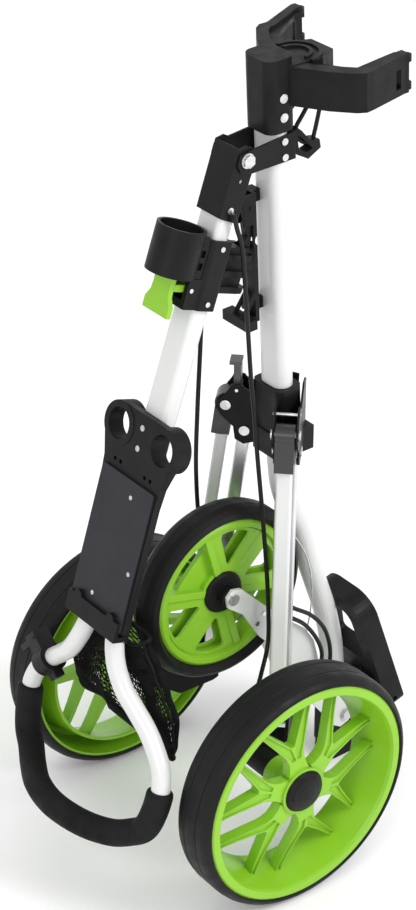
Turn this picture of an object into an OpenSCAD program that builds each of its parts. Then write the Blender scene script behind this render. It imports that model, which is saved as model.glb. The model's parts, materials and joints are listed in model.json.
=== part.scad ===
// Three-wheel golf push trolley, folded and standing on its rear wheels.
// Origin: floor under the foot of the main frame. +Z up, X along the axles.
// +Y is the side that carries the bag, -Y the side of the folded handle.

/* [Rear wheels] */
// Tyre outside radius
rear_r = 148; // [120:1:160]
// Tyre width
rear_w = 58; // [44:1:66]
// Half of the distance between the rear wheels' centre planes
rear_half_track = 169; // [155:1:190]
// Number of forked spokes in a rear rim
rear_spokes = 6; // [5:1:7]

/* [Front wheel] */
// Tyre outside radius
front_r = 111; // [100:1:125]
// Tyre width
front_w = 44; // [35:1:50]
// Height of the folded front wheel's centre
front_z = 316; // [300:1:330]

/* [Frame] */
// Width of the main tube
tube_w = 41; // [36:0.5:46]
// Depth of the main tube
tube_d = 25; // [22:0.5:30]
// Height of the main tube's top end
tube_top_z = 946; // [920:1:948]
// Outside radius of the curved lower tube
lower_tube_r = 14; // [12:0.5:15]

/* [Handle arm] */
// Width of the arm tube
arm_w = 36; // [30:1:38]
// Depth of the arm tube
arm_d = 22; // [18:1:26]
// Angle between the folded arm and the vertical
arm_lean = 19.34; // [15:0.1:22]
// Outside radius of the handle's bent tube
bar_r = 11; // [10:0.5:12]
// Outside radius of the foam grip
grip_r = 15.5; // [14:0.5:18]

/* [Console and holder] */
// Width of the card panel
panel_w = 93; // [80:1:100]
// Radius of each ball ring's hole
ball_hole_r = 18; // [17:0.5:20]
// Radius of the umbrella holder's bore
umbrella_r = 24; // [18:0.5:26]
// Depth of the umbrella holder's bore
umbrella_len = 48; // [40:1:60]

/* [Legs] */
// Distance between the two pivots of a leg bar
leg_len = 339; // [320:1:360]
// Angle between a folded leg and the vertical
leg_lean = 7.5; // [5:0.1:10]

/* [Hidden] */
// radial clearance of a running fit, gap between curved faces, sheet thickness
run = 0.05;
gap = 0.3;
plate = 2.5;
tube_wall = 2;
foot_y = 200;

// Rear axle, front axle and fork pivot
rear_y = -foot_y;
front_y = 21 - foot_y;
fork_y = 198 - foot_y;
fork_z = 75;
axle_r = 5;
spoke_step = 360 / rear_spokes;

// Main tube: a line that leans back a little
tube_lean = 2.7;
tube_ref_y = 103.5 - foot_y;
tube_ref_z = 600;
tube_low_z = 482;

// Handle arm pivot
pivot_y = 42.5 - foot_y;
pivot_z = 851;
pivot_r = 4;
arm_wall_x = arm_w / 2 + 0.2;
arm_end = -540;

// Leg plane: vertical, turned 45 degrees, through the line x = 0, y = apex_y
apex_y = 128.5 - foot_y;
leg_turn = 45;
upper_u = 74.5;
upper_z = 524;
link_u = 53;
link_z = 492;
drop_u = leg_len * sin(leg_lean);
drop_z = leg_len * cos(leg_lean);
leg_bar = [14, 18];
link_bar = [15, 24];
wing_in = 12.3;
wing_t = 2.4;
wing_out = wing_in + wing_t;
leg_pin_r = 3.5;

// Lower bag rest hinge
rest_y = 250 - foot_y;
rest_z = 92;
rest_lean = 15.5;

$fn = 64;

white_paint = [0.93, 0.94, 0.94];
black_plastic = [0.06, 0.06, 0.07];
black_steel = [0.05, 0.05, 0.055];
lime = [0.35, 0.72, 0.06];
bright_steel = [0.75, 0.76, 0.78];
slate = [0.16, 0.17, 0.20];
black_rubber = [0.05, 0.05, 0.05];
fabric_black = [0.04, 0.04, 0.045];

function tube_y(z) = tube_ref_y - tan(tube_lean) * (z - tube_ref_z);

// ---------- placing helpers ----------
module on_tube(z) {
    translate([0, tube_y(z), z]) rotate([tube_lean, 0, 0]) children();
}
module on_arm() {
    translate([0, pivot_y, pivot_z]) rotate([-arm_lean, 0, 0]) children();
}
// side 1 is the right leg plane, side -1 the left: local x outward, y normal, z up
module in_leg_plane(side) {
    mirror([side < 0 ? 1 : 0, 0, 0])
        translate([0, apex_y, 0])
            rotate([0, 0, -leg_turn])
                children();
}
module along_x(x0, x1, r) {
    translate([x0, 0, 0]) rotate([0, 90, 0]) cylinder(r = r, h = x1 - x0);
}
module along_y(y0, y1, r) {
    translate([0, y0, 0]) rotate([-90, 0, 0]) cylinder(r = r, h = y1 - y0);
}
module rounded_rect(w, d, r) {
    square([w - 2 * r, d], center = true);
    square([w, d - 2 * r], center = true);
    for (sx = [-1, 1]) {
        for (sy = [-1, 1]) {
            translate([sx * (w / 2 - r), sy * (d / 2 - r)]) circle(r = r);
        }
    }
}
module rounded_bar(w, d, r, h) {
    linear_extrude(height = h) rounded_rect(w, d, r);
}
module block(x, y, z) {
    translate([x[0], y[0], z[0]]) cube([x[1] - x[0], y[1] - y[0], z[1] - z[0]]);
}
// a flat shape drawn in the Y-Z plane, given thickness along X
module side_plate(x0, t) {
    translate([x0, 0, 0]) rotate([90, 0, 90]) linear_extrude(height = t) children();
}
module limb(p, q, r) {
    d = q - p;
    len = norm(d);
    flat = norm([d[0], d[1]]);
    translate(p) rotate([0, atan2(flat, d[2]), atan2(d[1], d[0])]) cylinder(r = r, h = len);
}
function shifted(pts) = [for (p = pts) [p[0], p[1] - foot_y, p[2]]];
function mirrored(pts) = [for (p = pts) [-p[0], p[1], p[2]]];
function arc(c, r, a0, a1, n) = [for (k = [0 : n]) let (a = a0 + (a1 - a0) * k / n)
    [c[0] + r * cos(a), c[1] + r * sin(a)]];
function flipped(pts) = [for (i = [len(pts) - 1 : -1 : 0]) [-pts[i][0], pts[i][1]]];

// cord: rings of points swept along a centre line
function unit(v) = v / norm(v);
function tangent(pts, i) = unit(pts[min(i + 1, len(pts) - 1)] - pts[max(i - 1, 0)]);
function side_dir(t) = unit(cross(t, [0.1, 1, 0.15]));
function ring(p, t, r, n) = let (a = side_dir(t), b = cross(t, a))
    [for (k = [0 : n - 1]) p + r * (cos(360 * k / n) * a + sin(360 * k / n) * b)];
function smooth_step(pts, i, t) = let (
    a = pts[max(i - 1, 0)], b = pts[i], c = pts[i + 1], d = pts[min(i + 2, len(pts) - 1)])
    0.5 * (2 * b + (c - a) * t + (2 * a - 5 * b + 4 * c - d) * t * t
        + (3 * b - a - 3 * c + d) * t * t * t);
function smoothed(pts, n) = concat(
    [for (i = [0 : len(pts) - 2]) for (k = [0 : n - 1]) smooth_step(pts, i, k / n)],
    [pts[len(pts) - 1]]);
module cord(path, r, n = 8) {
    m = len(path);
    points = [for (i = [0 : m - 1]) each ring(path[i], tangent(path, i), r, n)];
    walls = [for (i = [0 : m - 2]) for (k = [0 : n - 1])
        [i * n + k, i * n + (k + 1) % n, (i + 1) * n + (k + 1) % n, (i + 1) * n + k]];
    low = [for (k = [0 : n - 1]) n - 1 - k];
    high = [for (k = [0 : n - 1]) (m - 1) * n + k];
    polyhedron(points = points, faces = concat([low, high], walls));
}
// the same, hollow: outer skin, inner skin and two end rings
module hose(path, r, r_in, n) {
    m = len(path);
    outer = [for (i = [0 : m - 1]) each ring(path[i], tangent(path, i), r, n)];
    inner = [for (i = [0 : m - 1]) each ring(path[i], tangent(path, i), r_in, n)];
    q = m * n;
    faces = [for (i = [0 : m - 2]) for (k = [0 : n - 1]) let (j = (k + 1) % n)
        each [[i * n + k, i * n + j, (i + 1) * n + j, (i + 1) * n + k],
            [q + i * n + j, q + i * n + k, q + (i + 1) * n + k, q + (i + 1) * n + j]]];
    ends = [for (k = [0 : n - 1]) let (j = (k + 1) % n, e = (m - 1) * n)
        each [[j, k, q + k, q + j], [e + k, e + j, q + e + j, q + e + k]]];
    polyhedron(points = concat(outer, inner), faces = concat(faces, ends));
}

// ---------- main tube and upper cradle ----------
module tube_shape(w, d) {
    square([w - d, d], center = true);
    for (s = [-1, 1]) {
        translate([s * (w - d) / 2, 0]) circle(r = d / 2);
    }
}
module main_tube() {
    color(white_paint)
    difference() {
        on_tube(tube_low_z)
            linear_extrude(height = (tube_top_z - tube_low_z) / cos(tube_lean))
                difference() {
                    tube_shape(tube_w, tube_d);
                    tube_shape(tube_w - 2 * tube_wall, tube_d - 2 * tube_wall);
                }
        on_tube(cradle_z)
            for (z = cradle_bolt_z) {
                translate([0, 0, z]) along_x(-40, 40, cradle_bolt_r + run);
            }
    }
}

sleeve_w = 46;
sleeve_d = 37;
sleeve_h = 82;
cradle_z = 870;
cradle_bolt_z = [17, 38.7];
cradle_bolt_r = 3;
arm_low = 27;
arm_tall = 44;
deck_low = 40;
deck_tall = 32;
// one arm: out to a corner, then forward to the tip; tip is the tip's distance from the middle
module cradle_arm(tip) {
    difference() {
        union() {
            linear_extrude(height = arm_tall)
                polygon([[16, 17], [22, 10], [60, 31], [83, 49], [89, 58], [88, 68], [tip + 6, 118],
                    [tip + 6, 124], [tip - 6, 124], [tip - 6, 116], [76, 70], [75, 62], [68, 54],
                    [50, 42], [18, 24]]);
            // shelf along the inside of the wall
            translate([0, 0, arm_tall - 9.5])
                linear_extrude(height = 5.6)
                    polygon([[18, 20], [66, 50], [79, 64], [tip, 112], [tip - 3, 121], [tip - 14, 121],
                        [tip - 13, 108], [64, 66], [52, 56], [14, 36]]);
        }
        translate([tip - 10, 104, 8]) cube([26, 8, 22]);
    }
    for (z = [3, arm_tall - 10]) {
        translate([tip, 124, z]) cylinder(r = 6.5, h = 7);
    }
}
tip_right = 73;
tip_left = 103;
module upper_cradle() {
    color(black_plastic)
    on_tube(cradle_z)
        difference() {
            union() {
                rounded_bar(sleeve_w, sleeve_d, 12, sleeve_h);
                // deck in front of the sleeve, with two raised ribs
                translate([0, 0, deck_low]) linear_extrude(height = deck_tall)
                    polygon([[-21, 0], [21, 0], [28, 50], [18, 72], [-18, 72], [-28, 50]]);
                for (r = [18, 28]) {
                    translate([0, 34, deck_low + deck_tall - 0.5])
                        difference() {
                            cylinder(r = r + 2, h = 3);
                            translate([0, 0, -1]) cylinder(r = r - 2, h = 5);
                            translate([-40, -40, -1]) cube([80, 40, 5]);
                        }
                }
                // gusset under the deck
                side_plate(-5, 10) polygon([[16, 6], [19, 6], [60, deck_low + 1], [16, deck_low + 1]]);
                translate([0, 0, arm_low]) cradle_arm(tip_right);
                translate([0, 0, arm_low]) mirror([1, 0, 0]) cradle_arm(tip_left);
            }
            translate([0, 0, -1]) linear_extrude(height = tube_top_z - cradle_z + 3)
                tube_shape(tube_w + 0.4, tube_d + 0.4);
            for (z = cradle_bolt_z) {
                translate([0, 0, z]) along_x(-40, 40, cradle_bolt_r + run);
            }
        }
}
module hex_bolt(x0, x1, r) {
    along_x(x0, x1, r);
    translate([x1, 0, 0]) rotate([0, 90, 0]) cylinder(r = r * 1.9, h = r * 1.1, $fn = 6);
    translate([x1, 0, 0]) rotate([0, 90, 0]) cylinder(r = r * 2.1, h = r * 0.3);
    translate([x0 - r * 0.9, 0, 0]) rotate([0, 90, 0]) cylinder(r = r * 1.9, h = r * 0.9, $fn = 6);
}
module dome_rivet(x0, x1, r) {
    along_x(x0, x1, r);
    along_x(x1, x1 + 1.4, r * 1.7);
    along_x(x0 - 1.4, x0, r * 1.7);
}
module cradle_bolts() {
    color(bright_steel)
    on_tube(cradle_z)
        for (z = cradle_bolt_z) {
            translate([0, 0, z]) dome_rivet(-sleeve_w / 2, sleeve_w / 2, cradle_bolt_r);
        }
}

// ---------- upper hinge ----------
bracket_in = tube_w / 2 + 0.1;
bracket_z = 851;
module hinge_bracket() {
    color(black_steel)
    difference() {
        union() {
            on_tube(bracket_z)
                for (s = [-1, 1]) {
                    side_plate(s > 0 ? bracket_in : -bracket_in - plate, plate)
                        polygon([[tube_d / 2 + plate, -15], [tube_d / 2 + plate, 16],
                            [-46, 12], [-58, 10], [-62, 0], [-58, -10], [-46, -14]]);
                }
            on_tube(bracket_z)
                block([-bracket_in - plate, bracket_in + plate], [tube_d / 2 + 0.1, tube_d / 2 + plate],
                    [-15, 16]);
        }
        translate([0, pivot_y, pivot_z]) along_x(-40, 40, pivot_r + run);
    }
}
module hinge_rivets() {
    color(bright_steel)
    on_tube(bracket_z)
        for (z = [-9, 9]) {
            for (s = [-1, 1]) {
                translate([s * (bracket_in + plate), 0, z]) mirror([s < 0 ? 1 : 0, 0, 0])
                    along_x(0, 1.8, 4);
            }
        }
}
module hinge_bolt() {
    color(bright_steel)
    translate([0, pivot_y, pivot_z])
        hex_bolt(-bracket_in - plate, bracket_in + plate, pivot_r);
}

// ---------- fold catch on the main tube ----------
catch_x = 8;
hook_y = -35;
hook_z = 88;
foot_half = 22;
module catch_bracket() {
    color(black_plastic)
    on_tube(700) {
        difference() {
            union() {
                block([-catch_x, catch_x], [-33, -28], [-50, 104]);
                block([-catch_x, catch_x], [-45, -29], [68, 104]);
                // lugs that hold the strip off the tube
                for (z = [-44, 86]) {
                    block([-19, -5], [-32, -tube_d / 2 - 0.1], [z, z + 14]);
                }
                // foot bar with its struts
                block([-foot_half, foot_half], [-56, -42], [-50, -38]);
                block([-catch_x, catch_x], [-43, -29], [-50, -44]);
                for (s = [-1, 1]) {
                    side_plate(s > 0 ? catch_x - 2 : -catch_x, 2)
                        polygon([[-54, -39], [-47, -39], [-30, -18], [-30, -8]]);
                }
            }
            // the hook turns in a slot in the top block and the strip
            block([-5.2, 5.2], [-50, -30.6], [38, 110]);
            translate([0, hook_y, hook_z]) along_x(-20, 20, 2 + run);
            // round cut-out in the strip
            translate([0, -24.5, 48]) along_x(-20, 20, 6.5);
        }
        translate([0, hook_y, hook_z]) along_x(-catch_x - 1.2, catch_x + 1.2, 2);
    }
}
module catch_hook() {
    color(black_steel)
    on_tube(700)
        difference() {
            side_plate(-5, 10)
                polygon([[-33.4, 94], [-39, 96], [-43, 88], [-41, 70], [-39, 54], [-46, 48],
                    [-46, 43], [-36, 42], [-34, 52], [-35, 70], [-33.4, 84]]);
            translate([0, hook_y, hook_z]) along_x(-20, 20, 2 + 2 * run);
        }
}

// ---------- mid bracket, legs and lower tube ----------
mid_z = 520;
latch_u = 62;
latch_z = 543;
module wing_outline() {
    polygon([[-6, 34], [14, 38], [44, 22], [53, 26], [56, 30], [68, 30], [71, 24], [78, 14], [85, 8],
        [86, 0], [80, -10],
        [66, -24], [64, -40], [54, -46], [40, -42], [24, -34], [10, -40], [-4, -44]]);
}
module wing(side) {
    in_leg_plane(side)
        for (s = [-1, 1]) {
            translate([0, s > 0 ? wing_in + wing_t : -wing_in, mid_z])
                rotate([90, 0, 0])
                    linear_extrude(height = wing_t) wing_outline();
        }
}
module leg_bores(side, r) {
    in_leg_plane(side) {
        translate([latch_u, 0, latch_z]) along_y(-40, 40, 2 + run);
        translate([upper_u, 0, upper_z]) along_y(-40, 40, r);
        translate([link_u, 0, link_z]) along_y(-40, 40, r);
    }
}
sleeve_low = 470;
module mid_bracket() {
    color(black_steel)
    difference() {
        union() {
            // clamp body round both tube ends
            on_tube(482) rounded_bar(50, 34, 8, 78);
            translate([0, apex_y, 0]) block([-22, 22], [-39, 14], [sleeve_low, 500]);
            for (side = [-1, 1]) {
                wing(side);
            }
        }
        on_tube(tube_low_z - 0.2) linear_extrude(height = 120) tube_shape(tube_w + 0.2, tube_d + 0.2);
        limb(lower_path[0] + [0, 0, 6], lower_path[0] - [0, -1, 24], lower_tube_r + 0.2);
        for (side = [-1, 1]) {
            leg_bores(side, leg_pin_r + run);
            // room for the ends of the leg and link bars
            in_leg_plane(side) {
                translate([upper_u, 0, upper_z]) along_y(-wing_in, wing_in, 17);
                translate([link_u, 0, link_z]) along_y(-wing_in, wing_in, 15);
                translate([link_u - 9, -wing_in, sleeve_low - 60]) cube([60, 2 * wing_in, 82]);
            }
        }
    }
}
module pin_with_heads(y0, y1, r) {
    along_y(y0, y1, r);
    along_y(y1, y1 + 2, r * 1.75);
    along_y(y0 - 2, y0, r * 1.75);
}
module mid_bolts() {
    color(bright_steel)
    for (side = [-1, 1]) {
        in_leg_plane(side) {
            translate([upper_u, 0, upper_z]) pin_with_heads(-wing_out, wing_out, leg_pin_r);
            translate([link_u, 0, link_z]) pin_with_heads(-wing_out, wing_out, leg_pin_r);
            // pivot of the release tab, and its plain twin on the other wing
            translate([latch_u, 0, latch_z]) along_y(-wing_out - 1, wing_out + 1, 2);
        }
    }
}

// release tab of the rear legs, on the left wing
module leg_latch() {
    color(slate)
    in_leg_plane(-1)
        translate([latch_u, 0, latch_z]) {
            difference() {
                union() {
                    along_y(-9, 9, 5);
                    block([-4, 4], [-9, 9], [2, 32]);
                    block([-5, 9], [-9, 9], [29, 33]);
                }
                along_y(-10, 10, 2 + run);
            }
        }
}

// centre line: in line with the main tube, then forward, then down into the end block
lower_path = smoothed(shifted([[0, 109.2, 481.5], [0, 110.4, 456], [0, 113.5, 428], [0, 118.5, 408],
    [0, 127, 386], [0, 138.5, 362], [0, 146.5, 340], [0, 152.5, 318], [0, 159.5, 294], [0, 172, 258],
    [0, 183.5, 224], [0, 191, 195], [0, 197, 165], [0, 200.5, 135], [0, 203.5, 85]]), 3);
module lower_tube() {
    color(white_paint) cord(lower_path, lower_tube_r, 24);
}

block_w = 48;
block_y = 208;
module end_block() {
    color(black_plastic)
    difference() {
        union() {
            translate([0, block_y - foot_y, 0])
                linear_extrude(height = 20) rounded_rect(36, 40, 6);
            translate([0, block_y - foot_y, 18])
                linear_extrude(height = 82) rounded_rect(36, 44, 6);
            translate([0, fork_y, fork_z]) along_x(-block_w / 2, block_w / 2, 15);
            translate([0, fork_y, fork_z]) along_x(-fork_in + 0.2, fork_in - 0.2, 9);
        }
        limb([0, 203.56 - foot_y, 84], [0, 200.5 - foot_y, 135], lower_tube_r + 0.5);
        translate([0, fork_y, fork_z]) along_x(-40, 40, 4 + run);
        for (s = [-1, 1]) {
            translate([s * 18, block_y - foot_y, 36])
                cube([8, 22, 26], center = true);
        }
    }
}
fork_in = 26.5;
fork_t = 4;
module fork_bolt() {
    color(bright_steel)
    translate([0, fork_y, fork_z]) hex_bolt(-fork_in - fork_t - 0.4, fork_in + fork_t + 0.4, 4);
}

// ---------- lower bag rest ----------
module rest_bracket() {
    color(black_plastic)
    difference() {
        union() {
            block([-17.8, 17.8], [block_y + 22 - foot_y, block_y + 29 - foot_y], [52, 98]);
            translate([0, rest_y, rest_z]) along_x(-17.8, 17.8, 9);
            block([-17.8, 17.8], [block_y + 22 - foot_y, rest_y], [84, 96]);
        }
        translate([0, rest_y, rest_z]) along_x(-40, 40, 3.5 + run);
    }
}
module rest_pin() {
    color(bright_steel)
    translate([0, rest_y, rest_z]) along_x(-hoop_w + 4, hoop_w - 4, 3.5);
}
// hoop that folds up against the lower tube
hoop_h = 165;
hoop_w = 62;
hoop_back = 12;
hoop_front = 14;
hoop_half = concat(arc([hoop_w - 11, 11], 11, -90, 8, 6), arc([15, hoop_h - 32], 32, 12, 90, 9));
hole_half = concat(arc([28, 76], 6, -90, 10, 4), arc([9, hoop_h - 38], 17, 10, 90, 6));
module bag_rest() {
    color(black_plastic)
    translate([0, rest_y, rest_z])
        rotate([rest_lean, 0, 0])
            difference() {
                translate([0, hoop_front, -12])
                    rotate([90, 0, 0])
                        linear_extrude(height = hoop_front + hoop_back)
                            polygon(concat(hoop_half, flipped(hoop_half)));
                translate([0, hoop_front + 1, -12])
                    rotate([90, 0, 0])
                        linear_extrude(height = hoop_front + hoop_back + 2)
                            polygon(concat(hole_half, flipped(hole_half)));
                // the frame's hinge barrel sits in this notch
                along_x(-18.2, 18.2, 14.6);
                translate([-18.2, -20, -20]) cube([36.4, 40, 31]);
                along_x(-70, 70, 3.5 + 2 * run);
                // hollow back
                for (s = [-1, 1]) {
                    block(s > 0 ? [21, 46] : [-46, -21], [-14, -7], [16, 44]);
                }
            }
}

// ---------- handle arm ----------
module arm_tube() {
    color(white_paint)
    difference() {
        on_arm()
            translate([0, 0, arm_end])
                difference() {
                    rounded_bar(arm_w, arm_d, 6, -arm_end - 18);
                    translate([0, 0, -1]) rounded_bar(arm_w - 4, arm_d - 4, 4, -arm_end - 16);
                }
        loop_room();
    }
}
module arm_channel() {
    wall = plate - 0.4;
    color(black_steel)
    on_arm()
        difference() {
            union() {
                for (s = [-1, 1]) {
                    side_plate(s > 0 ? arm_wall_x : -arm_wall_x - wall, wall)
                        polygon([[-arm_d / 2 - 2.2, -66], [arm_d / 2 + 1, -70], [arm_d / 2 + 2, -20],
                            [14, 6], [8, 13], [-4, 15], [-arm_d / 2 - 2.2, 10]]);
                }
                block([-arm_wall_x - wall, arm_wall_x + wall], [-arm_d / 2 - 2.2, -arm_d / 2 - 0.1],
                    [-66, 10]);
            }
            along_x(-40, 40, pivot_r + run);
            translate([0, 2, -24]) along_x(-40, 40, 2.5);
        }
}
module channel_rivets() {
    wall = plate - 0.4;
    color(bright_steel)
    on_arm()
        for (s = [-1, 1]) {
            translate([0, -2, -56])
                along_x(s > 0 ? arm_wall_x + wall : -arm_wall_x - wall - 1.3,
                    s > 0 ? arm_wall_x + wall + 1.3 : -arm_wall_x - wall, 3.6);
        }
}

lever_y = -24;
lever_z = -147;
holder_y = -43.5;
holder_z = -82;
holder_wall = 3.5;
clamp_low = -168;
clamp_tall = 78;
module holder_clamp() {
    color(black_plastic)
    on_arm()
        difference() {
            union() {
                translate([0, 0, clamp_low]) rounded_bar(arm_w + 9, arm_d + 9, 7, clamp_tall);
                // block in front, with the slot for the thumb lever
                block([-20, 20], [-30, -12], [clamp_low, holder_z - umbrella_len - 4.3]);
                // ribbed block behind the tube
                translate([0, 0, -150]) linear_extrude(height = 52)
                    polygon([[-14, 8], [14, 8], [13, 46], [8, 51], [-8, 51], [-13, 46]]);
                for (z = [-148, -130, -112]) {
                    translate([0, 0, z]) linear_extrude(height = 7)
                        polygon([[-19, 8], [19, 8], [18, 47], [11, 55], [-11, 55], [-18, 47]]);
                }
            }
            translate([0, 0, -180]) rounded_bar(arm_w + 0.2, arm_d + 0.2, 6.1, 100);
            // groove that the fold catch's hook drops into
            block([-7, 7], [36, 70], [-112, -80]);
            block([-14, 14], [-40, -16.5], [lever_z - 12, lever_z + 30]);
            translate([0, lever_y, lever_z]) along_x(-40, 40, 2.5 + run);
        }
}
module umbrella_holder() {
    color(black_plastic)
    on_arm()
        difference() {
            union() {
                translate([0, holder_y, holder_z - umbrella_len - 4])
                    cylinder(r = umbrella_r + holder_wall, h = umbrella_len + 4);
                block([-19, 19], [-34, -15.6], [holder_z - umbrella_len - 4, holder_z - 6]);
            }
            translate([0, holder_y, holder_z - umbrella_len]) cylinder(r = umbrella_r, h = umbrella_len + 1);
            // two vents in the block
            for (z = [-20, -34]) {
                block([15, 30], [-24, -18], [holder_z + z - 8, holder_z + z]);
            }
        }
}
module holder_screws() {
    color(bright_steel)
    on_arm() {
        translate([0, lever_y, lever_z]) along_x(-20, 20, 2.5);
        for (z = [-98, -160]) {
            translate([arm_w / 2 + 4.51, 0, z]) along_x(0, 1.8, 3);
        }
    }
}

module thumb_lever() {
    color(lime)
    on_arm()
        translate([0, lever_y, lever_z])
            difference() {
                union() {
                    along_x(-13, 13, 5);
                    block([-13, 13], [-24, 0], [-4, 4]);
                    // paddle, wider at its lower end
                    translate([0, -20, 0]) rotate([90, 0, 0]) linear_extrude(height = 6)
                        polygon([[-15, 11], [15, 11], [14, 0], [15, -10], [21, -20], [21, -32],
                            [-21, -32], [-21, -20], [-15, -10], [-14, 0]]);
                    block([-3, 3], [-21, -13], [-22, 0]);
                }
                along_x(-60, 60, 2.5 + 2 * run);
            }
}

// ---------- console ----------
con_z = -329;
con_y = -13.5;
con_tilt = 2;
con_long = 214;
ring_x = 39;
ring_z = 7;
ring_wall = 7.5;
ring_back = 13;
ring_front = -8;
module on_console() {
    on_arm() translate([0, con_y, con_z]) rotate([con_tilt, 0, 0]) children();
}
// the arm tube's outline with clearance, and the two tube ends of the loop below it
module arm_room() {
    on_arm() translate([0, 0, arm_end - 60]) rounded_bar(arm_w + 0.2, arm_d + 0.2, 6.1, 400);
}
module loop_room() {
    for (side = [loop_right, loop_left]) {
        for (k = [0 : 2]) {
            limb(side[k] - 0.1 * (side[k + 1] - side[k]), side[k + 1] + 0.1 * (side[k + 1] - side[k]), bar_r + 0.9);
        }
    }
}
module console() {
    color(black_plastic)
    difference() {
        union() {
            on_console() {
                // back plate, wide at the top
                translate([0, 2, 0]) rotate([90, 0, 0])
                    linear_extrude(height = 9)
                        polygon([[-ring_x, ring_z + 25.4], [ring_x, ring_z + 25.4], [60, 16], [62, -4],
                            [51.5, -34], [49, -60], [49, 6 - con_long], [41, -con_long + 0.2],
                            [-41, -con_long + 0.2], [-49, 6 - con_long], [-49, -60], [-51.5, -34],
                            [-62, -4], [-60, 16]]);
                for (s = [-1, 1]) {
                    translate([s * ring_x, 0, ring_z])
                        along_y(ring_front, ring_back, ball_hole_r + ring_wall);
                }
            }
            // saddle between the plate and the tube
            on_arm() block([-20.5, 20.5], [con_y + 1, 4], [con_z - 30, con_z + 16]);
        }
        on_console() {
            for (s = [-1, 1]) {
                translate([s * ring_x, 0, ring_z]) along_y(-20, 20, ball_hole_r);
            }
            for (x = [-32, -22, 22, 32]) {
                translate([x, 0, -32]) along_y(-8, -3, 2.6);
            }
            // seats of the two screws between the rings
            for (z = [17, -7]) {
                translate([0, 0, z]) along_y(-8, -6, 3.5);
            }
        }
        arm_room();
        loop_room();
    }
}
module console_panel() {
    color(slate)
    on_console()
        difference() {
            translate([0, -7.1, -44]) rotate([90, 0, 0])
                linear_extrude(height = 3)
                    translate([0, 3 - (con_long - 44) / 2]) rounded_rect(panel_w, con_long - 46, 4);
            for (p = panel_screws) {
                translate([p[0], 0, p[1]]) along_y(-11, -9.5, 2.7);
            }
        }
}
panel_screws = [[12, -60], [-12, -186], [38, -140]];
module card_clip() {
    color(black_plastic)
    difference() {
        on_console() {
            block([-46, 46], [-15, -10.2], [4 - con_long, 17 - con_long]);
            for (s = [-1, 1]) {
                translate([s * 30, -12.5, 16 - con_long]) along_y(-2.5, 2.2, 7);
            }
            block([-46, 46], [-15, 0], [-con_long - 6, -con_long - 0.1]);
            block([-46, 46], [-15, -10.2], [-con_long - 6, 5 - con_long]);
        }
        arm_room();
        loop_room();
    }
}
module console_screws() {
    color(bright_steel)
    on_console() {
        for (p = panel_screws) {
            translate([p[0], 0, p[1]]) along_y(-10.6, -9.55, 2.6);
        }
        for (z = [17, -7]) {
            translate([0, 0, z]) along_y(-7.4, -6.05, 3.4);
        }
    }
}

// ---------- handle loop ----------
// centre line of the right half, from the arm to the middle of the grip
loop_right = shifted([[22.5, -133.5, 349], [24, -139, 333], [28, -144, 318], [37, -148, 298],
    [52, -149, 276], [71, -147, 258], [92, -146, 240], [110, -148, 222], [122, -151, 206],
    [127.5, -156, 186], [125, -163, 158], [117, -170, 134], [101, -177, 121], [78, -190, 112],
    [44, -206, 112], [0, -214, 114]]);
loop_left = mirrored(loop_right);
loop_sides = 20;
loop_step = 2;
grip_from = 18;
grip_to = 44;
loop_path = smoothed(concat(loop_right, [for (i = [14 : -1 : 0]) loop_left[i]]), loop_step);
module handle_bar() {
    color(white_paint) cord(loop_path, bar_r, loop_sides);
}
module foam_grip() {
    color(black_rubber)
    hose([for (i = [grip_from : grip_to]) loop_path[i]], grip_r, bar_r + 0.3, loop_sides);
}
// end plug of the arm tube: both ends of the loop sit in it
module bar_plug() {
    color(black_plastic)
    difference() {
        on_arm() {
            translate([0, 0, arm_end - 0.1]) rounded_bar(arm_w - 4.2, arm_d - 4.2, 4, 40);
            translate([0, 0, arm_end - 16]) rounded_bar(74, arm_d + 4, 8, 15.9);
        }
        loop_room();
        // stays clear of the console's plate
        on_console() block([-60, 60], [-30, 2.2], [-con_long - 20, -con_long + 60]);
    }
}

// ---------- brake lever on the left of the loop ----------
clamp_at = [-101, -147 - foot_y, 231];
clamp_turn = -136.6;
clamp_r = 17;
trigger_x = 29;
trigger_z = -8;
module on_clamp() {
    translate(clamp_at) rotate([0, clamp_turn, 0]) children();
}
module brake_mount() {
    p = loop_left[6];
    q = loop_left[7];
    color(black_plastic)
    difference() {
        union() {
            limb(p + 0.04 * (q - p), p + 0.96 * (q - p), clamp_r);
            on_clamp() block([8, 36], [-10, 10], [-13, 13]);
            on_clamp() block([-24, -10], [-6, 6], [-8, 8]);
        }
        limb(p - 0.5 * (q - p), p + 1.5 * (q - p), bar_r + 0.4);
        on_clamp() block([19, 40], [-4.4, 4.4], [-12, 20]);
        on_clamp() translate([trigger_x, 0, trigger_z]) along_y(-20, 20, 1.5 + run);
    }
    color(bright_steel)
    on_clamp() translate([trigger_x, 0, trigger_z]) along_y(-11, 11, 1.5);
}
module brake_lever() {
    color(black_plastic)
    on_clamp()
        translate([trigger_x, 0, trigger_z])
            difference() {
                union() {
                    along_y(-4.1, 4.1, 3.6);
                    block([-3, 3], [-4.1, 4.1], [0, 40]);
                    block([-4, 3], [-8, 8], [24, 44]);
                }
                along_y(-20, 20, 1.5 + 2 * run);
            }
}

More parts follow.
